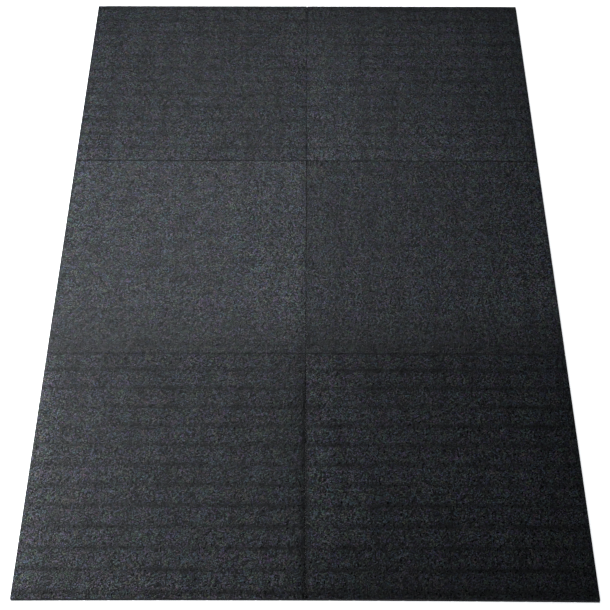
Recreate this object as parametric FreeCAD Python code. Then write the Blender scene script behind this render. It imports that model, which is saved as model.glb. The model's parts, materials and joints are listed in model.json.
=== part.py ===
import FreeCAD, Part
import os

# Folding gym mat: six square panels in two columns and three rows, lying open on the floor.
# Each panel is a laminate of three sheets: a rubber wear sheet, a foam core and a rubber base sheet.
# Five flexible webs hinge the panels into one chain that runs up the left column, across the back
# row and down the right column, so the middle and front rows are slit along the centre line.
#
# Millimetres, +X to the right, +Y to the back, +Z up. The origin is on the floor under the middle
# of the open mat.

# Driving dimensions
PANEL_PITCH = 500.0  # seam to seam, both ways
SEAM_GAP = 1.2  # open slit between two neighbouring panels
WEAR_THICKNESS = 2.0
CORE_THICKNESS = 4.8
BASE_THICKNESS = 1.2
CORNER_RADIUS = 2.0  # in plan, at a sheet's four corners
WEAR_EDGE_ROUND = 0.8  # along the top edge of the wear sheet
BASE_EDGE_ROUND = 0.4  # along the bottom edge of the base sheet
CORE_INSET = 0.5  # the foam core is trimmed this far inside the two rubber sheets

WEB_THICKNESS = 0.6
WEB_RECESS = 0.1  # a top web lies this far below the training surface
LEAF_WIDTH = 18.0  # from the seam's centre line to the end of the bonded leaf
WEB_END_MARGIN = 10.0  # from the end of a web to the corner of its panels
FOLD_GAP = 0.3  # between a web's two leaves, where the strip bends
FIT_GAP = 0.2  # round a leaf in its pocket

# Worked out from the above
COLUMNS = ("left", "right")
ROWS = ("front", "middle", "back")
MAT_THICKNESS = BASE_THICKNESS + CORE_THICKNESS + WEAR_THICKNESS
PANEL_SIDE = PANEL_PITCH - SEAM_GAP
CORE_BOTTOM = BASE_THICKNESS
WEAR_BOTTOM = BASE_THICKNESS + CORE_THICKNESS
TOP_WEB_BOTTOM = MAT_THICKNESS - WEB_RECESS - WEB_THICKNESS
BOTTOM_WEB_BOTTOM = BASE_THICKNESS - WEB_THICKNESS
WEB_LENGTH = PANEL_PITCH - 2 * WEB_END_MARGIN

# Each hinge: its two panels as (column, row), and the face that its web is bonded to.
HINGES = {
    "left_front": (("left", "front"), ("left", "middle"), "top"),
    "left_back": (("left", "middle"), ("left", "back"), "bottom"),
    "centre": (("left", "back"), ("right", "back"), "top"),
    "right_back": (("right", "middle"), ("right", "back"), "bottom"),
    "right_front": (("right", "front"), ("right", "middle"), "top"),
}


def panel_centre(panel):
    """The middle of a panel in plan."""
    column, row = panel
    x = (COLUMNS.index(column) - (len(COLUMNS) - 1) / 2) * PANEL_PITCH
    y = (ROWS.index(row) - (len(ROWS) - 1) / 2) * PANEL_PITCH
    return FreeCAD.Vector(x, y, 0)


def sheet(centre, side, bottom, thickness, corner_radius):
    """A flat square sheet with rounded corners in plan."""
    corner = FreeCAD.Vector(centre.x - side / 2, centre.y - side / 2, bottom)
    block = Part.makeBox(side, side, thickness, corner)
    upright = [e for e in block.Edges if abs(e.tangentAt(e.FirstParameter).z) > 0.5]
    return block.makeFillet(corner_radius, upright)


def round_rim(solid, height, radius):
    """Rounds every edge of the solid that lies at one height."""
    rim = [
        edge
        for edge in solid.Edges
        if all(abs(vertex.Point.z - height) < 1e-6 for vertex in edge.Vertexes)
    ]
    return solid.makeFillet(radius, rim)


def block_along_seam(hinge, panel, start, end, length, bottom, thickness):
    """A block on one panel's side of a seam, from start to end away from the seam's centre line."""
    first, second, _ = HINGES[hinge]
    seam = (panel_centre(first) + panel_centre(second)) * 0.5
    inward = panel_centre(panel) - seam
    inward.normalize()
    along = FreeCAD.Vector(-inward.y, inward.x, 0)
    a = seam + inward * start - along * (length / 2)
    b = seam + inward * end + along * (length / 2)
    corner = FreeCAD.Vector(min(a.x, b.x), min(a.y, b.y), bottom)
    return Part.makeBox(abs(b.x - a.x), abs(b.y - a.y), thickness, corner)


def leaf(hinge, panel):
    """One half of a hinge web, bonded to one panel and reaching to the fold line."""
    bottom = TOP_WEB_BOTTOM if HINGES[hinge][2] == "top" else BOTTOM_WEB_BOTTOM
    return block_along_seam(hinge, panel, FOLD_GAP / 2, LEAF_WIDTH, WEB_LENGTH, bottom, WEB_THICKNESS)


def cut_pockets(solid, panel, face):
    """Cuts the pockets for the webs that are bonded to one face of a panel. A pocket in the wear
    sheet is shallow. In the base sheet it goes right through, so the web is bonded to the core."""
    bottom = TOP_WEB_BOTTOM if face == "top" else 0.0
    depth = MAT_THICKNESS - TOP_WEB_BOTTOM if face == "top" else BASE_THICKNESS
    length = WEB_LENGTH + 2 * FIT_GAP
    for hinge, (first, second, hinge_face) in HINGES.items():
        if hinge_face == face and panel in (first, second):
            solid = solid.cut(
                block_along_seam(hinge, panel, 0.0, LEAF_WIDTH + FIT_GAP, length, bottom, depth)
            )
    return solid


def wear_sheet(panel):
    """The top rubber sheet, with a rounded rim and shallow pockets for the top webs."""
    solid = sheet(panel_centre(panel), PANEL_SIDE, WEAR_BOTTOM, WEAR_THICKNESS, CORNER_RADIUS)
    return cut_pockets(round_rim(solid, MAT_THICKNESS, WEAR_EDGE_ROUND), panel, "top")


def foam_core(panel):
    """The foam slab, trimmed a little inside the two rubber sheets."""
    side = PANEL_SIDE - 2 * CORE_INSET
    return sheet(panel_centre(panel), side, CORE_BOTTOM, CORE_THICKNESS, CORNER_RADIUS)


def base_sheet(panel):
    """The anti-slip rubber sheet under the foam, with openings for the bottom webs."""
    solid = sheet(panel_centre(panel), PANEL_SIDE, 0.0, BASE_THICKNESS, CORNER_RADIUS)
    return cut_pockets(round_rim(solid, 0.0, BASE_EDGE_ROUND), panel, "bottom")


def parts():
    """Every sub-part, as node name and solid."""
    for column in COLUMNS:
        for row in ROWS:
            panel = (column, row)
            yield f"{row}_{column}_wear_sheet", wear_sheet(panel)
            yield f"{row}_{column}_foam_core", foam_core(panel)
            yield f"{row}_{column}_base_sheet", base_sheet(panel)
    for hinge, (first, second, _) in HINGES.items():
        for panel in (first, second):
            side = panel[0] if hinge == "centre" else panel[1]
            yield f"{hinge}_hinge_{side}_leaf", leaf(hinge, panel)


def main():
    os.makedirs("parts", exist_ok=True)
    for name, shape in parts():
        if not shape.isValid() or len(shape.Solids) != 1:
            raise ValueError(f"{name} is not one valid solid")
        shape.Solids[0].exportStep(f"parts/{name}.step")


main()
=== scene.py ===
import json
import math
from collections import namedtuple

import bpy
import numpy as np
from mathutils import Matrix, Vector

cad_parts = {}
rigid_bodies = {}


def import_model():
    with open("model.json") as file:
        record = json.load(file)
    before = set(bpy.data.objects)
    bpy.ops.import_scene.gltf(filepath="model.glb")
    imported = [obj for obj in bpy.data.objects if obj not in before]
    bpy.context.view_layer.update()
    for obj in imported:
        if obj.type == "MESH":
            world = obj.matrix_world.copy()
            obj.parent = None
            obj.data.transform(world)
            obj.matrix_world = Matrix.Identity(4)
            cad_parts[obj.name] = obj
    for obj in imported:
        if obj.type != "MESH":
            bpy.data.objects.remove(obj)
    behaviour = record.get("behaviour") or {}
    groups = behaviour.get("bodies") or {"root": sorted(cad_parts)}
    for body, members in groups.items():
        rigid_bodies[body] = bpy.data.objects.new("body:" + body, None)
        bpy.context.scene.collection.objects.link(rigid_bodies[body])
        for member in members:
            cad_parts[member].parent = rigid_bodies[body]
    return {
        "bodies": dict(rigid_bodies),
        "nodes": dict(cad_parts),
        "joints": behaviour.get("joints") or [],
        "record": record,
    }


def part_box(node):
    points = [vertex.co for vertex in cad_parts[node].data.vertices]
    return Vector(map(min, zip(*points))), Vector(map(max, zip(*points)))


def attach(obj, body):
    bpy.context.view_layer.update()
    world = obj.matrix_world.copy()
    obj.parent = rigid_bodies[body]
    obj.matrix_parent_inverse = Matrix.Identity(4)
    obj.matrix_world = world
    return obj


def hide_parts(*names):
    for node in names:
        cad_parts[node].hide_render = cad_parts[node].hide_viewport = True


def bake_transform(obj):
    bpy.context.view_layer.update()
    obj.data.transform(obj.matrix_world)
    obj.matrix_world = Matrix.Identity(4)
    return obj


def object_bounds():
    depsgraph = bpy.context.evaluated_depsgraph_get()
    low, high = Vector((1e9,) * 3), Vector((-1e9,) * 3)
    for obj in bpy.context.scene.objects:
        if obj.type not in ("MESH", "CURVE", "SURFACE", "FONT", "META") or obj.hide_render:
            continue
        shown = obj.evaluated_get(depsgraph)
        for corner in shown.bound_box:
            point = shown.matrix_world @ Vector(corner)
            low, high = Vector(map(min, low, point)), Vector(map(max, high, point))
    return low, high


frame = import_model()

# The folding gym mat's looks, in metres and in the CAD model's own frame: +X right, +Y back, +Z up.
# Each of the six panels has a granular wear sheet, a foam block and a studded base sheet. A flexible
# web crosses each of the five hinges.

CAD_LOW, CAD_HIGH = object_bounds()
MM = 0.001

# Surface mesh
GRANULE = 2.5 * MM  # spacing of the wear sheet's grid, about the size of one rubber granule
GRANULE_RELIEF = 0.13 * MM
CORNER_RADIUS = 1.6 * MM  # of the wear sheet and the foam, in plan
CORNER_STEPS = 4
WALL = 0.02 * MM  # half the run of a steep step in a height field
SHARP_ANGLE = math.radians(50)  # an edge steeper than this is shaded sharp
GRAIN_SPREAD = 0.35  # how much a grid point's height takes from each of its neighbours
GRAIN_LIMIT = 2.2  # standard deviations

# Wear sheet
WEAR_ROUND = 0.9 * MM
WEAR_SNUG = 0.42 * MM  # how far its sides stand out past the CAD's, towards the next panel
CROWN = 0.12 * MM
WEAR_LEAST = 0.2 * MM  # how near to its underside its rounded rim may come
POCKET_CLEARANCE = 0.04 * MM  # round a web
POCKET_SPARE = 0.05 * MM  # under a web
ROLLS = {  # how each kind of panel edge falls away, as depths and widths that add up
    "outer": ((0.7 * MM, 45 * MM), (0.2 * MM, 6 * MM)),
    "hinged": (),
    "butted": ((0.15 * MM, 5 * MM),),
    "slit": ((0.3 * MM, 45 * MM), (0.1 * MM, 6 * MM)),
}
OPEN_SLIT_ROLLS = ((0.8 * MM, 50 * MM), (0.7 * MM, 8 * MM))  # what the front row's slit adds to that
OPEN_SLIT_RUN = 110 * MM  # how far from the hinges the front row's slit is fully open
SLIT_OPENING = 0.4 * MM  # how much wider it gets on each side
SLIT_OPENING_REACH = 0.1  # how far into a panel that moves the rubber, as a share of its side
FRONT_HOLLOW = 1.9 * MM  # how far the mat's front edge is cut in at its middle
FRONT_HOLLOW_REACH = 0.8  # how far into a panel that moves the rubber, as a share of its side

# Painted shade and painted light of the wear sheet, mostly near its edges
SEAM_PAINTED_SHADE = 0.75  # painted shade: how much darker the rubber is painted right in a seam
SEAM_PAINTED_SHADE_WIDTH = 1.8 * MM
OPEN_SLIT_PAINTED_SHADE = 0.75  # the same painted shade, wider, along the front row's open slit
OPEN_SLIT_PAINTED_SHADE_WIDTH = 9 * MM
PAINTED_LIGHT_AND_SHADE = {  # painted light and shade by a panel's side: how much lighter or darker, and how far in it reaches
    ("front_left", "left"): (0.6, 60 * MM),
    ("front_left", "front"): (0.25, 200 * MM),
    ("front_left", "right"): (-0.35, 70 * MM),
    ("front_right", "left"): (0.7, 150 * MM),
    ("front_right", "right"): (-0.35, 200 * MM),
    ("front_right", "front"): (-0.52, 200 * MM),
    ("middle_left", "left"): (0.1, 60 * MM),
    ("middle_left", "right"): (0.38, 300 * MM),
    ("middle_left", "front"): (-0.6, 150 * MM),
    ("middle_right", "front"): (-0.68, 150 * MM),
    ("back_left", "left"): (0.35, 60 * MM),
    ("back_left", "right"): (0.25, 150 * MM),
    ("back_left", "back"): (-0.1, 150 * MM),
    ("back_left", "front"): (0.12, 200 * MM),
    ("back_right", "left"): (0.2, 150 * MM),
    ("back_right", "right"): (-0.35, 150 * MM),
    ("back_right", "back"): (-0.48, 150 * MM),
    ("back_right", "front"): (0.25, 200 * MM),
}
PAINTED_LIGHT_AND_SHADE_FADE = 1.5  # how steeply the painted light and shade fade inwards
PALE_SPOT = 0.35  # a pale spot on each middle panel
PALE_SPOT_OUT = 200 * MM  # from the mat's centre line
PALE_SPOT_BACK = 38 * MM  # from the panel's front edge
PALE_SPOT_SIZE = (17 * MM, 26 * MM)  # how far it spreads across the mat and along it

# Foam block
FOAM_STEP = 2.0 * MM
FOAM_ROWS = 6
FOAM_HOLLOW = 0.25 * MM  # how far its sides sink between the two rubber sheets
FOAM_ROUGH = 0.07 * MM

# Base sheet
STUDS = 12  # along each side of a panel
GROOVE_WIDTH = 5.0 * MM
GROOVE_DEPTH = 0.6 * MM
GROOVE_SHAPE = 4  # how square its section is
GROOVE_LINES = (0.6, 0.5, 0.42, 0.3, 0.1)  # grid lines each side of its middle, as shares of its width
OPENING_ROOF = 0.02 * MM  # left of the sheet over an opening for a web
BASE_ROUND = 0.35 * MM
BASE_CORNER_RADIUS = 0.5 * MM
BASE_SNUG = 0.59 * MM  # how far its sides stand out past the CAD's, to butt on the next panel

# Hinge webs
WEB_STEP = 2.5 * MM
CREASES = {  # each top web's crease along the fold: half its width, its depth and its sharpness
    "centre": (0.45 * MM, 1.1 * MM, 0.4),
    "left_front": (1.4 * MM, 0.45 * MM, 1.0),
    "right_front": (1.4 * MM, 0.45 * MM, 1.0),
}
UNDER_CREASE = (0.5 * MM, 0.6 * MM, 0.7)  # the same, of the webs underneath
CREASE_STEPS = 4  # grid steps in half a crease
WEB_LIFT = 0.02 * MM  # of its underside, off the CAD leaf's
WEB_RIM = 0.06 * MM  # rounding of a web's edge
WEB_RIM_SHAPE = ((0.7, 0.97), (1.0, 0.9), (1.0, 0.1), (0.7, 0.03))  # as shares: how far out and up
WEB_RELIEF = 0.1 * MM
LEAF_REACH = 20 * MM  # past the end of a web's leaf, from the seam

PANEL_SEED = 100  # of the random draws for the first panel
WEB_SEED = 200  # of those for the first web


# ---------------------------------------------------------------------------- the mat's layout

Hinge = namedtuple("Hinge", "name parent child leaves face")  # parent and child are bodies

SAME_SEAM = 5 * MM  # a web whose middle is nearer than this to a side's middle is on that side
SIDES = {"left": (-1, 0), "right": (1, 0), "front": (0, -1), "back": (0, 1)}


def panel_of(body):
    """The panel that a body holds, such as front_left."""
    return body.removesuffix("_panel")


def panel_nodes(panel):
    """The CAD nodes on a panel's body."""
    return frame["record"]["behaviour"]["bodies"][f"{panel}_panel"]


def hinges():
    """Every hinge, from the CAD joints. Its face is the one that its web is bonded to."""
    found = []
    for joint in frame["joints"]:
        name = joint["name"].replace("_fold", "_hinge")
        leaves = sorted(node for node in frame["nodes"] if node.startswith(name))
        face = "top" if joint["pos_m"][2] > CAD_HIGH.z / 2 else "bottom"
        found.append(Hinge(name, joint["parent"], joint["child"], leaves, face))
    return found


def leaf_boxes(panel, face):
    """The boxes of the hinge leaves on one face of a panel."""
    return [
        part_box(leaf)
        for hinge in hinges()
        for leaf in hinge.leaves
        if hinge.face == face and leaf in panel_nodes(panel)
    ]


def wider_box(node, out):
    """A sheet's box, with its four sides stood out by some distance."""
    low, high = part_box(node)
    reach = Vector((out, out, 0))
    return Vector(low) - reach, Vector(high) + reach


def box_of(nodes):
    """The box round several CAD nodes."""
    boxes = [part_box(node) for node in nodes]
    low = Vector(min(b[0][i] for b in boxes) for i in range(3))
    high = Vector(max(b[1][i] for b in boxes) for i in range(3))
    return low, high


def edge_kinds(panel):
    """What each side of a panel is: outer, hinged on top, butted with its hinge underneath, or slit."""
    low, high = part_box(f"{panel}_wear_sheet")
    middle = (low + high) / 2
    kinds = {}
    for side, (dx, dy) in SIDES.items():
        edge = middle + Vector((dx, dy, 0)) * (high.x - low.x) / 2
        if abs(edge.x) > CAD_HIGH.x - MM or abs(edge.y) > CAD_HIGH.y - MM:
            kinds[side] = "outer"
            continue
        kinds[side] = "slit"
        for hinge in hinges():
            web_low, web_high = box_of(hinge.leaves)
            near = ((web_low + web_high) / 2 - edge).xy.length < SAME_SEAM
            if near and f"{panel}_panel" in (hinge.parent, hinge.child):
                kinds[side] = "hinged" if hinge.face == "top" else "butted"
    return kinds


def side_distances(panel, x, y):
    """How far a place is from each side of a panel's wear sheet."""
    low, high = wider_box(f"{panel}_wear_sheet", WEAR_SNUG)
    return {"left": x - low.x, "right": high.x - x, "front": y - low.y, "back": high.y - y}


def opened(panel, x, y):
    """How far the slit is open at a place, from 0 near the hinges to 1 in the front row."""
    if not panel.startswith("front"):
        return np.zeros(np.shape(x))
    run = side_distances(panel, x, y)["back"] - LEAF_REACH
    share = np.clip(run / OPEN_SLIT_RUN, 0, 1)
    return share * share * (3 - 2 * share)


def nearness(distance, width):
    """1 at an edge, falling evenly to 0 at some width from it."""
    return np.clip(1 - distance / width, 0, 1)


def edge_drop(panel, x, y, sides=tuple(SIDES)):
    """How far the rolled edges of a panel lower its top face at a place."""
    kinds = edge_kinds(panel)
    drop = np.zeros(np.shape(x))
    for side, distance in side_distances(panel, x, y).items():
        if side not in sides:
            continue
        for depth, width in ROLLS[kinds[side]]:
            drop = drop + depth * nearness(distance, width) ** 2
        if kinds[side] == "slit":
            for depth, width in OPEN_SLIT_ROLLS:
                drop = drop + opened(panel, x, y) * depth * nearness(distance, width) ** 2
    return drop


def vertex_places(piece):
    """The x, y and z of every vertex of a piece, as three arrays."""
    places = np.empty(len(piece.data.vertices) * 3)
    piece.data.vertices.foreach_get("co", places)
    return places.reshape(-1, 3).T


def trim_front(piece, panel, opening=0.0):
    """Hollows the mat's front edge a little, and opens the front row's slit by up to opening."""
    if not panel.startswith("front"):
        return
    low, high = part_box(f"{panel}_wear_sheet")
    side = high.y - low.y
    outward = 1 if low.x + high.x > 0 else -1
    x, y, z = vertex_places(piece)
    near_slit = nearness(np.abs(x), SLIT_OPENING_REACH * side)
    near_front = nearness(y - low.y, FRONT_HOLLOW_REACH * side)
    new_x = x + outward * opening * near_slit * opened(panel, x, y)
    new_y = y + FRONT_HOLLOW * near_front * (1 - (x / CAD_HIGH.x) ** 2)
    piece.data.vertices.foreach_set("co", np.stack([new_x, new_y, z], 1).ravel())


def shade_at(panel, x, y):
    """How light a panel's rubber is at a place: 1 in its field, less with painted shade in a seam or
    slit, lighter or darker with painted light and shade near some sides, and pale in a spot on middle
    panels."""
    kinds = edge_kinds(panel)
    distances = side_distances(panel, x, y)
    shade = np.ones(np.shape(x))
    for side, distance in distances.items():
        # painted shade in a seam
        if kinds[side] in ("slit", "butted"):
            shade = shade * (1 - SEAM_PAINTED_SHADE * nearness(distance, SEAM_PAINTED_SHADE_WIDTH))
        # painted shade along the front row's open slit
        if kinds[side] == "slit":
            slit_shade = OPEN_SLIT_PAINTED_SHADE * opened(panel, x, y)
            shade = shade * (1 - slit_shade * nearness(distance, OPEN_SLIT_PAINTED_SHADE_WIDTH))
        # painted light and painted shade near some sides of a panel
        if (panel, side) in PAINTED_LIGHT_AND_SHADE:
            change, width = PAINTED_LIGHT_AND_SHADE[panel, side]
            shade = shade * (1 + change * nearness(distance, width) ** PAINTED_LIGHT_AND_SHADE_FADE)
    # a pale spot on each middle panel
    if panel.startswith("middle"):
        across = (np.abs(x) - PALE_SPOT_OUT) / PALE_SPOT_SIZE[0]
        along = (distances["front"] - PALE_SPOT_BACK) / PALE_SPOT_SIZE[1]
        shade = shade * (1 + PALE_SPOT * np.exp(-across * across - along * along))
    return shade


def set_shade(piece, shade_of):
    """Keeps the shade of each vertex of a piece, for its material. shade_of gives it from x and y."""
    x, y, _ = vertex_places(piece)
    shade = piece.data.attributes.new("shade", "FLOAT", "POINT")
    shade.data.foreach_set("value", shade_of(x, y))


# ---------------------------------------------------------------------------- meshes

def grid_lines(low, high, step, extra=()):
    """Places from low to high about one step apart, with extra ones put in."""
    count = max(1, round((high - low) / step))
    places = list(np.linspace(low, high, count + 1))
    places += [place for place in extra if low < place < high]
    return np.array(sorted(places))


def border(nx, ny):
    """The border of an nx by ny grid, anticlockwise, as (column, row, outward direction). A corner
    is there several times, with directions that fan round it."""
    sides = (
        [(i, 0) for i in range(nx)],
        [(nx - 1, j) for j in range(ny)],
        [(i, ny - 1) for i in reversed(range(nx))],
        [(0, j) for j in reversed(range(ny))],
    )
    loop = []
    for turn, side in enumerate(sides):
        angle = (turn - 1) * math.pi / 2
        loop += [(i, j, angle) for i, j in side]
        loop += [
            (*side[-1], angle + step / CORNER_STEPS * math.pi / 2) for step in range(1, CORNER_STEPS)
        ]
    return loop


def grid_faces(nx, ny, first, upward):
    """The quads of a grid whose vertices start at first and run along X."""
    i, j = np.meshgrid(np.arange(nx - 1), np.arange(ny - 1))
    a = first + (j * nx + i).ravel()
    quads = np.stack([a, a + 1, a + 1 + nx, a + nx], 1)
    return (quads if upward else quads[:, ::-1]).tolist()


def sheet_mesh(name, xs, ys, rim, top=None, bottom=None):
    """A closed sheet over the grid lines xs and ys. top and bottom give the height of a face at each
    point of the grid, and a face without one is flat. rim is the side from top to bottom, as
    (how far outside the grid, height), where height is a function such as the four below."""
    nx, ny = len(xs), len(ys)
    gx, gy = np.meshgrid(xs, ys)
    loop = border(nx, ny)
    columns = np.array([i for i, _, _ in loop])
    rows = np.array([j for _, j, _ in loop])
    angles = np.array([angle for _, _, angle in loop])
    count = len(loop)
    vertices, faces = [], []
    rings, used = [], 0

    def add(x, y, z):
        nonlocal used
        vertices.append(np.stack([x.ravel(), y.ravel(), z.ravel()], 1))
        used += x.size
        return used - x.size

    heights = {}
    for place, face in (("top", top), ("bottom", bottom)):
        if face is not None:
            z = face(gx, gy)
            first = add(gx, gy, z)
            faces += grid_faces(nx, ny, first, place == "top")
            heights[place] = z[rows, columns]
            rings.append((place, first + rows * nx + columns))
    rim_rings = []
    for outside, height in rim:
        x = xs[columns] + np.cos(angles) * outside
        y = ys[rows] + np.sin(angles) * outside
        z = height(x, y, heights) + np.zeros(count)
        rim_rings.append(add(x, y, z) + np.arange(count))
    chain = [ring for place, ring in rings if place == "top"] + rim_rings
    chain += [ring for place, ring in rings if place == "bottom"]
    for upper, lower in zip(chain, chain[1:]):
        for k in range(count):
            n = (k + 1) % count
            face = [upper[k], lower[k], lower[n], upper[n]]
            face = [int(v) for i, v in enumerate(face) if v not in face[:i]]
            if len(face) > 2:
                faces.append(face)
    if top is None:
        faces.append([int(v) for v in chain[0]])
    if bottom is None:
        faces.append([int(v) for v in chain[-1][::-1]])
    mesh = bpy.data.meshes.new(name)
    mesh.from_pydata(np.concatenate(vertices).tolist(), [], faces)
    mesh.validate()
    mesh.polygons.foreach_set("use_smooth", np.ones(len(mesh.polygons), bool))
    mesh.set_sharp_from_angle(angle=SHARP_ANGLE)
    piece = bpy.data.objects.new(name, mesh)
    bpy.context.scene.collection.objects.link(piece)
    return piece


def between(share):
    """A rim height at a share of the way up from the bottom face to the top face."""
    return lambda x, y, heights: heights["bottom"] + share * (heights["top"] - heights["bottom"])


def under_top(drop, floor):
    """A rim height that follows the top face's border, a drop below it, but not under the floor."""
    return lambda x, y, heights: np.maximum(heights["top"] - drop, floor)


def over_bottom(rise, ceiling):
    """A rim height that follows the bottom face's border, a rise above it, up to the ceiling."""
    return lambda x, y, heights: np.minimum(heights["bottom"] + rise, ceiling)


def level(z):
    """A rim height that is the same all round."""
    return lambda x, y, heights: np.full(x.shape, z)


def quarter_round(radius, steps=4):
    """Points on a rounded edge, as (inwards from the side, down from the face)."""
    angles = [math.pi / 2 * k / steps for k in range(steps + 1)]
    return [(radius * (1 - math.sin(a)), radius * (1 - math.cos(a))) for a in angles]


def is_long_in_x(low, high):
    """Whether a box is longer along X than along Y."""
    return high.x - low.x > high.y - low.y


def step_lines(boxes):
    """Grid lines along X and along Y for the steep steps round the pockets of some leaves."""
    lines = ([], [])
    for low, high in boxes:
        for axis in (0, 1):
            for place in (low[axis] - POCKET_CLEARANCE, high[axis] + POCKET_CLEARANCE):
                lines[axis].extend((place - WALL, place + WALL))
    return lines


def in_pocket(box, x, y):
    """Which places lie in the pocket of a leaf."""
    low, high = box
    gap = POCKET_CLEARANCE
    return (
        (x > low.x - gap) & (x < high.x + gap)
        & (y > low.y - gap) & (y < high.y + gap)
    )


def grain(rng, shape, relief):
    """Uneven heights, one for each grid point, each a little like its neighbours."""
    rough = rng.normal(0, 1, shape)
    soft = rough.copy()
    for axis in (0, 1):
        soft += GRAIN_SPREAD * (np.roll(rough, 1, axis) + np.roll(rough, -1, axis))
    return np.clip(soft / soft.std(), -GRAIN_LIMIT, GRAIN_LIMIT) * relief


def wear_piece(panel, rng):
    """The granular top sheet of one panel, with its rolled edges and the pockets for the webs."""
    node = f"{panel}_wear_sheet"
    low, high = wider_box(node, WEAR_SNUG)
    pockets = leaf_boxes(panel, "top")
    extra_x, extra_y = step_lines(pockets)
    xs = grid_lines(low.x + CORNER_RADIUS, high.x - CORNER_RADIUS, GRANULE, extra_x)
    ys = grid_lines(low.y + CORNER_RADIUS, high.y - CORNER_RADIUS, GRANULE, extra_y)
    middle, half = (low + high) / 2, (high.x - low.x) / 2

    def height(x, y):
        u, v = (x - middle.x) / half, (y - middle.y) / half
        z = high.z - CROWN + CROWN * (1 - u * u) * (1 - v * v) - edge_drop(panel, x, y)
        z = z + grain(rng, x.shape, GRANULE_RELIEF)
        for pocket in pockets:
            ends = ("left", "right") if is_long_in_x(*pocket) else ("front", "back")
            floor = pocket[0].z - POCKET_SPARE - edge_drop(panel, x, y, ends)
            z = np.where(in_pocket(pocket, x, y), floor, z)
        return z

    rim = [
        (CORNER_RADIUS - inwards, under_top(drop, low.z + WEAR_LEAST))
        for inwards, drop in quarter_round(WEAR_ROUND)
    ]
    rim.append((CORNER_RADIUS, level(low.z)))
    piece = sheet_mesh(f"{panel}_wear_skin", xs, ys, rim, top=height)
    set_shade(piece, lambda x, y: shade_at(panel, x, y))
    trim_front(piece, panel, SLIT_OPENING)
    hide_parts(node)
    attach(piece, f"{panel}_panel")
    return piece


def foam_piece(panel, rng):
    """The foam block of one panel, whose cut sides sink a little between the rubber sheets."""
    node = f"{panel}_foam_core"
    low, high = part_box(node)
    xs = grid_lines(low.x + CORNER_RADIUS, high.x - CORNER_RADIUS, FOAM_STEP)
    ys = grid_lines(low.y + CORNER_RADIUS, high.y - CORNER_RADIUS, FOAM_STEP)
    count = len(border(len(xs), len(ys)))
    rim = []
    for row in range(FOAM_ROWS + 1):
        share = row / FOAM_ROWS
        sunk = FOAM_HOLLOW * (1 - (2 * share - 1) ** 2)
        rough = rng.normal(0, FOAM_ROUGH, count) if 0 < row < FOAM_ROWS else 0.0
        rim.append((CORNER_RADIUS - sunk - np.abs(rough), level(high.z + share * (low.z - high.z))))
    piece = sheet_mesh(f"{panel}_foam_block", xs, ys, rim)
    trim_front(piece, panel)
    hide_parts(node)
    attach(piece, f"{panel}_panel")
    return piece


def base_piece(panel):
    """The anti-slip sheet of one panel, with rows of flat square studs underneath."""
    node = f"{panel}_base_sheet"
    low, high = wider_box(node, BASE_SNUG)
    openings = leaf_boxes(panel, "bottom")
    pitch = (high.x - low.x) / STUDS

    def stud_lines(start, end, extra):
        """The grid lines across the studs and grooves, from one side of the sheet to the other."""
        first, last = start + BASE_CORNER_RADIUS, end - BASE_CORNER_RADIUS
        places = [first, last, *extra]
        for stud in range(1, STUDS):
            centre = start + stud * pitch
            places.append(centre)
            for away in GROOVE_LINES:
                places += [centre - away * GROOVE_WIDTH, centre + away * GROOVE_WIDTH]
        return np.array(sorted(place for place in places if first <= place <= last))

    extra_x, extra_y = step_lines(openings)
    xs = stud_lines(low.x, high.x, extra_x)
    ys = stud_lines(low.y, high.y, extra_y)

    def groove(place, start):
        """How deep a place is in a groove, from 0 to 1. The sheet's own sides have none."""
        away = np.abs((place - start + pitch / 2) % pitch - pitch / 2)
        near_end = (place - start < pitch / 2) | (place - start > pitch * (STUDS - 0.5))
        shape = np.clip(1 - (2 * away / GROOVE_WIDTH) ** GROOVE_SHAPE, 0, 1)
        return np.where(near_end, 0, shape)

    def height(x, y):
        z = low.z + GROOVE_DEPTH * np.maximum(groove(x, low.x), groove(y, low.y))
        for opening in openings:
            z = np.where(in_pocket(opening, x, y), high.z - OPENING_ROOF, z)
        return z

    rim = [(BASE_CORNER_RADIUS, level(high.z))]
    rim += [
        (BASE_CORNER_RADIUS - inwards, over_bottom(rise, high.z))
        for inwards, rise in reversed(quarter_round(BASE_ROUND, 3))
    ]
    piece = sheet_mesh(f"{panel}_studded_base", xs, ys, rim, bottom=height)
    trim_front(piece, panel)
    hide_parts(node)
    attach(piece, f"{panel}_panel")
    return piece


def web_piece(hinge, rng):
    """One hinge web: a strip bonded to both panels and creased along the fold."""
    name, parent, child, leaves, face = hinge
    low, high = box_of(leaves)
    middle = (low + high) / 2
    across = 1 if is_long_in_x(low, high) else 0
    ends = ("left", "right") if across == 1 else ("front", "back")
    half_width, depth, sharpness = CREASES.get(name.removesuffix("_hinge"), UNDER_CREASE)
    reach = 2 * CREASE_STEPS
    dense = [middle[across] + k * half_width / CREASE_STEPS for k in range(-reach, reach + 1)]
    xs, ys = (
        grid_lines(low[a] + WEB_RIM, high[a] - WEB_RIM, WEB_STEP, dense if a == across else ())
        for a in (0, 1)
    )
    outward = 1 if face == "top" else -1

    def crease(x, y):
        away = np.abs((x, y)[across] - middle[across])
        shape = -outward * depth * nearness(away, half_width) ** sharpness
        if face == "top":  # its ends follow the rolled sides of the panel under them
            shape = shape - edge_drop(panel_of(parent), x, y, ends)
        return shape

    def top(x, y):
        relief = grain(rng, x.shape, WEB_RELIEF) if face == "top" else 0
        return high.z + crease(x, y) + relief - 2 * WEB_RELIEF

    def bottom(x, y):
        return low.z + WEB_LIFT + crease(x, y)

    rim = [(out * WEB_RIM, between(share)) for out, share in WEB_RIM_SHAPE]
    piece = sheet_mesh(f"{name}_web", xs, ys, rim, top=top, bottom=bottom)
    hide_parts(*leaves)
    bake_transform(piece)
    return piece


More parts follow.
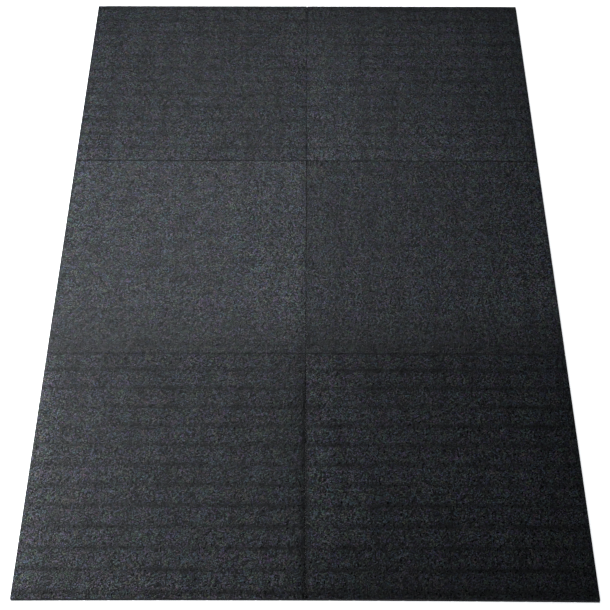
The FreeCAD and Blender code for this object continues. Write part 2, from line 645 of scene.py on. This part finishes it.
# ---------------------------------------------------------------------------- materials

# A pattern's scale is about how many of its cells lie along a metre. A range is a pattern's low and
# high, and what they become: shades and strengths are factors about 1.

# Bonded rubber crumb
RUBBER = (0.0129, 0.0153, 0.0182)
PALE_CRUMB = (0.16, 0.16, 0.15)
PALE_FROM = 0.9985  # a crumb is pale where its random number is over this
PALE_REACH = 0.45  # how far from its middle, in cells
GRAIN_SCALE = 440
CRUMB_SCALE = 900
LUMP_SCALE = 330
BLOTCH_SCALE = 55
CLOUD_SCALE = 3.2
TINT_SCALE = 120
TINT_CHANGE = 0.55  # how far the hue changes from one tinted cell to another
GRAIN_TINT_CHANGE = 0.42
ACROSS_PITCH = 40.8 * MM  # of the bands across the mat
ACROSS_SHARPNESS = 6
ALONG_PITCH = 63 * MM  # of the bands along it
ALONG_SHARPNESS = 2
ALONG_DEPTH = 0.16
PATCH_SCALE = 9  # of the patches where the bands are stronger or weaker
PATCH_RANGE = (0.35, 0.65, 0.5, 1.5)
GRAIN_RANGE = (0.3, 0.7, 0.02, 1.98)
CRUMB_RANGE = (0.25, 0.75, 0.25, 1.75)
# painted shade in the pits between the grains
PIT_PAINTED_SHADE_RANGE = (0.25, 0.75, 1.3, 0.3)
SOFT_RANGE = (0.3, 0.7, 0.92, 1.08)  # of the blotches and the clouds
RUBBER_ROUGHNESS = (0, 1, 0.17, 0.83)
SPECULAR = 0.165  # of a panel with a tone of 1
GRAIN_BUMP = 0.4 * MM
CRUMB_BUMP = -0.12 * MM  # below 0, what is dark in a pattern stands up
LUMP_BUMP = 0.7 * MM

TONES = {  # how light and glossy each panel's rubber is against the others
    "front_left": 1.09,
    "front_right": 0.86,
    "middle_left": 1.37,
    "middle_right": 1.27,
    "back_left": 1.14,
    "back_right": 1.33,
}
BANDS = {  # how dark the bands across each row are, and the place of one of them
    "front": (0.55, -0.288),
    "middle": (0.2, 0.220),
    "back": (0.38, 0.738),
}

# Cut foam
FOAM_BLACK = (0.024, 0.025, 0.027)
FOAM_CELL_SCALE = 1500
FOAM_CELL_RANGE = (0.1, 0.6, 0.65, 1.15)
FOAM_BLOTCH_SCALE = 90
FOAM_BLOTCH_RANGE = (0.3, 0.7, 0.85, 1.15)
FOAM_GLOSS_SCALE = 400
FOAM_ROUGHNESS = (0.3, 0.7, 0.75, 0.92)
FOAM_CELL_BUMP = 0.25 * MM
FOAM_SPECULAR = 0.25

# Moulded base rubber
BASE_BLACK = (0.022, 0.023, 0.025)
DUST = (0.050, 0.048, 0.045)
DUST_SCALE = 14
DUST_RANGE = (0.42, 0.75, 0.0, 1.0)
DUST_AMOUNT = 0.22
PEBBLE_SCALE = 620
PEBBLE_RANGE = (0.1, 0.7, 1.25, 0.6)
BASE_BLOTCH_SCALE = 160
BASE_BLOTCH_RANGE = (0.3, 0.7, 0.85, 1.15)
BASE_ROUGHNESS = (0, 1, 0.68, 0.85)  # from clean to dusty
PEBBLE_BUMP = -0.35 * MM
BASE_SPECULAR = 0.2

# Woven web
WEB_BLACK = (0.022, 0.022, 0.024)
THREAD_PITCH = 0.9 * MM
THREAD_RANGE = (-1, 1, 0.7, 1.2)
FIBRE_SCALE = 700
FIBRE_RANGE = (0.3, 0.7, 0.8, 1.2)
WEB_GLOSS_SCALE = 500
WEB_ROUGHNESS = (0.3, 0.7, 0.6, 0.85)
THREAD_BUMP = 0.12 * MM
WEB_SPECULAR = 0.3
WEB_SHEEN = 0.15


NOISE_ROUGHNESS = 0.55  # how strong the finer detail of every noise is


class Nodes:
    """Short calls for building a material's node tree."""

    def __init__(self, name):
        self.material = bpy.data.materials.new(name)
        self.material.use_nodes = True
        self.tree = self.material.node_tree
        self.tree.nodes.clear()
        self.output = self.add("ShaderNodeOutputMaterial")
        self.shader = self.add("ShaderNodeBsdfPrincipled")
        self.tree.links.new(self.shader.outputs["BSDF"], self.output.inputs["Surface"])
        self.place = self.add("ShaderNodeTexCoord").outputs["Object"]

    def add(self, kind, **settings):
        """A new node, with its settings."""
        node = self.tree.nodes.new(kind)
        for key, value in settings.items():
            setattr(node, key, value)
        return node

    def put(self, value, socket):
        """Links a socket to an input, or sets the input to a value."""
        if isinstance(value, bpy.types.NodeSocket):
            self.tree.links.new(value, socket)
        else:
            socket.default_value = value

    def math(self, operation, a, b=0.0, c=0.0):
        """One step of arithmetic on numbers or sockets."""
        node = self.add("ShaderNodeMath", operation=operation)
        for value, socket in zip((a, b, c), node.inputs):
            self.put(value, socket)
        return node.outputs[0]

    def voronoi(self, scale):
        """The node of a pattern of cells."""
        node = self.add("ShaderNodeTexVoronoi")
        self.put(self.place, node.inputs["Vector"])
        node.inputs["Scale"].default_value = scale
        return node

    def noise(self, scale, detail):
        """Soft noise about 0.5."""
        node = self.add("ShaderNodeTexNoise")
        self.put(self.place, node.inputs["Vector"])
        node.inputs["Scale"].default_value = scale
        node.inputs["Detail"].default_value = detail
        node.inputs["Roughness"].default_value = NOISE_ROUGHNESS
        return node.outputs["Fac"]

    def remap(self, value, low, high, to_low, to_high):
        """Takes low to to_low and high to to_high, and goes no further at either end."""
        node = self.add("ShaderNodeMapRange")
        for given, socket in zip((value, low, high, to_low, to_high), node.inputs):
            self.put(given, socket)
        return node.outputs["Result"]

    def separate(self, vector):
        """The three parts of a vector or colour."""
        node = self.add("ShaderNodeSeparateXYZ")
        self.put(vector, node.inputs[0])
        return node.outputs

    def hues(self, *patterns):
        """A slight change of hue about white, from the cells of Voronoi patterns and how far each
        one changes it."""
        hue = (1.0, 1.0, 1.0)
        for cells, amount in patterns:
            node = self.add("ShaderNodeVectorMath", operation="MULTIPLY_ADD")
            self.put(cells.outputs["Color"], node.inputs[0])
            node.inputs[1].default_value = (amount,) * 3
            self.put(hue, node.inputs[2])
            lower = self.add("ShaderNodeVectorMath", operation="SUBTRACT")
            self.put(node.outputs["Vector"], lower.inputs[0])
            lower.inputs[1].default_value = (amount / 2,) * 3
            hue = lower.outputs["Vector"]
        return hue

    def tinted(self, colour, hue):
        """A colour multiplied by a change of hue."""
        node = self.add("ShaderNodeVectorMath", operation="MULTIPLY")
        node.inputs[0].default_value = colour
        self.put(hue, node.inputs[1])
        return node.outputs["Vector"]

    def scale_colour(self, colour, factor):
        """A colour made lighter or darker by a factor."""
        node = self.add("ShaderNodeVectorMath", operation="SCALE")
        self.put(colour, node.inputs[0])
        self.put(factor, node.inputs["Scale"])
        return node.outputs["Vector"]

    def mix(self, factor, a, b):
        """A colour between a and b."""
        node = self.add("ShaderNodeMix", data_type="RGBA")
        for value, socket in ((factor, "Factor"), (a, "A"), (b, "B")):
            if isinstance(value, tuple):
                value = (*value, 1.0)
            sockets = [s for s in node.inputs if s.name == socket and s.enabled]
            self.put(value, sockets[0])
        return [s for s in node.outputs if s.enabled][0]

    def bands(self, place, pitch, start, sharpness):
        """Soft bands along an axis, from 0 between them to 1 in their middles."""
        turn = self.math("MULTIPLY_ADD", place, 2 * math.pi / pitch, -2 * math.pi * start / pitch)
        wave = self.math("MULTIPLY_ADD", self.math("COSINE", turn), 0.5, 0.5)
        return self.math("POWER", wave, sharpness)

    def bump(self, height, distance, normal=None):
        """The normal of a surface whose relief is a height times a distance, over another normal."""
        node = self.add("ShaderNodeBump")
        node.inputs["Strength"].default_value = 1.0
        node.inputs["Distance"].default_value = distance
        self.put(height, node.inputs["Height"])
        if normal is not None:
            self.put(normal, node.inputs["Normal"])
        return node.outputs["Normal"]


def crumb_rubber(name, tone, bands):
    """Bonded rubber crumb: dark grains of uneven shade and gloss, with painted shade in the pits
    between them, and darker bands both ways across the panel. bands is how dark the bands across are,
    and where one lies."""
    n = Nodes(name)
    across_depth, across_start = bands
    grains = n.voronoi(GRAIN_SCALE)
    crumbs = n.voronoi(CRUMB_SCALE)
    shade, gloss, _ = n.separate(grains.outputs["Color"])
    crumb_shade, _, pale = n.separate(crumbs.outputs["Color"])
    hue = n.hues((n.voronoi(TINT_SCALE), TINT_CHANGE), (grains, GRAIN_TINT_CHANGE))
    x, y, _ = n.separate(n.place)
    patchy = n.remap(n.noise(PATCH_SCALE, 3), *PATCH_RANGE)
    across = n.bands(y, ACROSS_PITCH, across_start, ACROSS_SHARPNESS)
    across = n.math("MULTIPLY", across, patchy)
    along = n.math("MULTIPLY", n.bands(x, ALONG_PITCH, 0.0, ALONG_SHARPNESS), patchy)
    plaid = n.math("MULTIPLY_ADD", across, -across_depth, 1.0)
    plaid = n.math("MULTIPLY_ADD", along, -ALONG_DEPTH, plaid)
    factor = tone
    for part in (
        n.remap(shade, *GRAIN_RANGE),
        n.remap(crumb_shade, *CRUMB_RANGE),
        # painted shade in the pits between the grains
        n.remap(grains.outputs["Distance"], *PIT_PAINTED_SHADE_RANGE),
        n.remap(n.noise(BLOTCH_SCALE, 4), *SOFT_RANGE),
        n.remap(n.noise(CLOUD_SCALE, 2), *SOFT_RANGE),
        n.add("ShaderNodeAttribute", attribute_name="shade").outputs["Fac"],  # painted light and shade, from set_shade
        plaid,
    ):
        factor = n.math("MULTIPLY", part, factor)
    colour = n.scale_colour(n.tinted(RUBBER, hue), factor)
    speck = n.math("GREATER_THAN", pale, PALE_FROM)
    near = n.math("LESS_THAN", crumbs.outputs["Distance"], PALE_REACH)
    speck = n.math("MULTIPLY", speck, near)
    n.put(n.mix(speck, colour, PALE_CRUMB), n.shader.inputs["Base Color"])
    n.put(n.remap(gloss, *RUBBER_ROUGHNESS), n.shader.inputs["Roughness"])
    n.shader.inputs["Specular IOR Level"].default_value = SPECULAR * tone
    normal = n.bump(n.math("SUBTRACT", 1.0, grains.outputs["Distance"]), GRAIN_BUMP)
    normal = n.bump(crumbs.outputs["Distance"], CRUMB_BUMP, normal)
    normal = n.bump(n.noise(LUMP_SCALE, 2), LUMP_BUMP, normal)
    n.put(normal, n.shader.inputs["Normal"])
    return n.material


def cut_foam():
    """Closed-cell foam, as its cut edge shows it."""
    n = Nodes("cut_foam")
    cells = n.voronoi(FOAM_CELL_SCALE)
    pores = n.remap(cells.outputs["Distance"], *FOAM_CELL_RANGE)
    blotches = n.remap(n.noise(FOAM_BLOTCH_SCALE, 3), *FOAM_BLOTCH_RANGE)
    shade = n.math("MULTIPLY", pores, blotches)
    n.put(n.scale_colour(FOAM_BLACK, shade), n.shader.inputs["Base Color"])
    roughness = n.remap(n.noise(FOAM_GLOSS_SCALE, 2), *FOAM_ROUGHNESS)
    n.put(roughness, n.shader.inputs["Roughness"])
    n.shader.inputs["Specular IOR Level"].default_value = FOAM_SPECULAR
    n.put(n.bump(cells.outputs["Distance"], FOAM_CELL_BUMP), n.shader.inputs["Normal"])
    return n.material


def moulded_base():
    """The anti-slip rubber of the base: matt, finely pebbled and slightly dusty."""
    n = Nodes("moulded_base")
    pebbles = n.voronoi(PEBBLE_SCALE)
    dust = n.remap(n.noise(DUST_SCALE, 5), *DUST_RANGE)
    pits = n.remap(pebbles.outputs["Distance"], *PEBBLE_RANGE)
    blotches = n.remap(n.noise(BASE_BLOTCH_SCALE, 3), *BASE_BLOTCH_RANGE)
    shade = n.math("MULTIPLY", pits, blotches)
    colour = n.scale_colour(BASE_BLACK, shade)
    colour = n.mix(n.math("MULTIPLY", dust, DUST_AMOUNT), colour, DUST)
    n.put(colour, n.shader.inputs["Base Color"])
    n.put(n.remap(dust, *BASE_ROUGHNESS), n.shader.inputs["Roughness"])
    n.shader.inputs["Specular IOR Level"].default_value = BASE_SPECULAR
    n.put(n.bump(pebbles.outputs["Distance"], PEBBLE_BUMP), n.shader.inputs["Normal"])
    return n.material


def woven_web():
    """Black twill tape: threads crossing in a diagonal step."""
    n = Nodes("woven_web")
    x, y, _ = n.separate(n.place)
    thread = 2 * math.pi / THREAD_PITCH
    warp = n.math("SINE", n.math("MULTIPLY", x, thread))
    weft = n.math("SINE", n.math("MULTIPLY", y, thread))
    step = n.math("SINE", n.math("MULTIPLY", n.math("ADD", x, y), thread / 2))
    over = n.math("GREATER_THAN", step, 0.0)
    under = n.math("SUBTRACT", 1.0, over)
    weave = n.math("ADD", n.math("MULTIPLY", warp, over), n.math("MULTIPLY", weft, under))
    threads = n.remap(weave, *THREAD_RANGE)
    fibres = n.remap(n.noise(FIBRE_SCALE, 2), *FIBRE_RANGE)
    shade = n.math("MULTIPLY", threads, fibres)
    n.put(n.scale_colour(WEB_BLACK, shade), n.shader.inputs["Base Color"])
    roughness = n.remap(n.noise(WEB_GLOSS_SCALE, 2), *WEB_ROUGHNESS)
    n.put(roughness, n.shader.inputs["Roughness"])
    n.shader.inputs["Specular IOR Level"].default_value = WEB_SPECULAR
    n.shader.inputs["Sheen Weight"].default_value = WEB_SHEEN
    n.put(n.bump(weave, THREAD_BUMP), n.shader.inputs["Normal"])
    return n.material


# ---------------------------------------------------------------------------- the object

def face_in_rubber(piece, hinge, rubbers):
    """Gives each half of a top web the rubber and the shade of the panel that it is bonded to, with
    painted shade in its crease."""
    panels = [panel_of(body) for body in (hinge.parent, hinge.child)]
    centres = [sum(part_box(f"{panel}_wear_sheet"), Vector()) / 2 for panel in panels]
    low, high = box_of(hinge.leaves)
    across = 1 if is_long_in_x(low, high) else 0
    fold = (low[across] + high[across]) / 2
    half_width = CREASES[hinge.name.removesuffix("_hinge")][0]
    first, second = panels if centres[0][across] < centres[1][across] else panels[::-1]

    def shade_of(x, y):
        away = (x, y)[across] - fold
        inside = (x, y)[across] + np.where(away < 0, -1, 1) * (SEAM_PAINTED_SHADE_WIDTH + MM)
        place = (inside, y) if across == 0 else (x, inside)
        shade = np.where(away < 0, shade_at(first, *place), shade_at(second, *place))
        # painted shade in the crease
        return shade * (1 - SEAM_PAINTED_SHADE * nearness(np.abs(away), half_width))

    set_shade(piece, shade_of)
    for panel in panels:
        piece.data.materials.append(rubbers[panel])
    for face in piece.data.polygons:
        near = [(face.center.xy - centre.xy).length for centre in centres]
        face.material_index = near.index(min(near))


def build_mat():
    """Every piece of the mat with its material, each panel's own pieces on its body."""
    foam, base, woven = cut_foam(), moulded_base(), woven_web()
    rubbers = {}
    for index, panel in enumerate(sorted(panel_of(body) for body in frame["bodies"])):
        rng = np.random.default_rng(PANEL_SEED + index)
        row = panel.split("_")[0]
        rubbers[panel] = crumb_rubber(f"{panel}_crumb_rubber", TONES[panel], BANDS[row])
        wear_piece(panel, rng).data.materials.append(rubbers[panel])
        foam_piece(panel, rng).data.materials.append(foam)
        base_piece(panel).data.materials.append(base)
    for index, hinge in enumerate(hinges()):
        piece = web_piece(hinge, np.random.default_rng(WEB_SEED + index))
        if hinge.face == "bottom":
            piece.data.materials.append(woven)
        else:
            face_in_rubber(piece, hinge, rubbers)


# ---------------------------------------------------------------------------- stage

FLOOR_SIZE = 400.0
FLOOR_WHITE = 0.9
FLOOR_ROUGHNESS = 0.9
FLOOR_GLOW = 0.65  # keeps the floor pale, up to the horizon

AIR_WHITE = (0.72, 0.87, 1.0)
AIR_STRENGTH = 0.12
LAMP_WHITE = (0.93, 0.965, 1.0)
LAMPS = (  # name, place, what it faces, size, power in watts
    ("front_fill", (0, -2.6, 3.2), (0, 0, 0), 2.0, 42),
    ("back_softbox", (-0.3, 1.9, 1.9), (0, 0, 0), 0.8, 13.6),
    ("left_back_softbox", (-0.5, 1.2, 1.5), (-0.1, 0, 0), 0.6, 12.2),
    ("left_edge_softbox", (-1.1, 0.0, 0.65), (-0.4, 0, 0), 0.9, 27),
    ("front_left_softbox", (-1.1, -1.0, 0.6), (-0.4, -0.7, 0), 0.5, 6.8),
)

CAMERA_PLACE = (0.003, -1.580, 2.007)
CAMERA_DOWN = math.radians(54.13)  # below the horizon
CAMERA_TURN = math.radians(0.20)  # to the left
CAMERA_LENS = 73.52  # millimetres
CAMERA_SENSOR = 36  # millimetres


def build_floor():
    """A wide, plain, pale floor."""
    mesh = bpy.data.meshes.new("floor")
    half = FLOOR_SIZE / 2
    corners = [(-half, -half, 0), (half, -half, 0), (half, half, 0), (-half, half, 0)]
    mesh.from_pydata(corners, [], [(0, 1, 2, 3)])
    floor = bpy.data.objects.new("floor", mesh)
    bpy.context.scene.collection.objects.link(floor)
    material = bpy.data.materials.new("floor_white")
    material.use_nodes = True
    shader = material.node_tree.nodes["Principled BSDF"]
    shader.inputs["Base Color"].default_value = (FLOOR_WHITE, FLOOR_WHITE, FLOOR_WHITE, 1)
    shader.inputs["Roughness"].default_value = FLOOR_ROUGHNESS
    shader.inputs["Emission Color"].default_value = (1, 1, 1, 1)
    shader.inputs["Emission Strength"].default_value = FLOOR_GLOW
    mesh.materials.append(material)


def build_world():
    """Faint light from all round, behind a plain backdrop of the far floor's colour."""
    world = bpy.data.worlds.new("studio")
    world.use_nodes = True
    nodes, links = world.node_tree.nodes, world.node_tree.links
    light = nodes["Background"]
    light.inputs["Color"].default_value = (*AIR_WHITE, 1)
    light.inputs["Strength"].default_value = AIR_STRENGTH
    backdrop = nodes.new("ShaderNodeBackground")
    far_floor = [FLOOR_GLOW + FLOOR_WHITE * AIR_STRENGTH * part for part in AIR_WHITE]
    backdrop.inputs["Color"].default_value = (*far_floor, 1)
    seen = nodes.new("ShaderNodeLightPath").outputs["Is Camera Ray"]
    chosen = nodes.new("ShaderNodeMixShader")
    links.new(seen, chosen.inputs["Fac"])
    links.new(light.outputs["Background"], chosen.inputs[1])
    links.new(backdrop.outputs["Background"], chosen.inputs[2])
    links.new(chosen.outputs["Shader"], nodes["World Output"].inputs["Surface"])
    bpy.context.scene.world = world


def build_lamps():
    """The square soft lights."""
    for name, place, aim, size, power in LAMPS:
        data = bpy.data.lights.new(name, "AREA")
        data.size = size
        data.energy = power
        data.color = LAMP_WHITE
        lamp = bpy.data.objects.new(name, data)
        lamp.visible_camera = False
        lamp.location = place
        direction = Vector(aim) - Vector(place)
        lamp.rotation_mode = "QUATERNION"
        lamp.rotation_quaternion = direction.to_track_quat("-Z", "Y")
        bpy.context.scene.collection.objects.link(lamp)


def build_camera():
    """The camera, where the photograph was taken from."""
    data = bpy.data.cameras.new("camera")
    data.lens = CAMERA_LENS
    data.sensor_width = CAMERA_SENSOR
    camera = bpy.data.objects.new("camera", data)
    camera.location = CAMERA_PLACE
    camera.rotation_euler = (math.pi / 2 - CAMERA_DOWN, 0, CAMERA_TURN)
    bpy.context.scene.collection.objects.link(camera)
    bpy.context.scene.camera = camera


bpy.context.scene.view_settings.view_transform = "Standard"
build_mat()
build_floor()
build_world()
build_lamps()
build_camera()
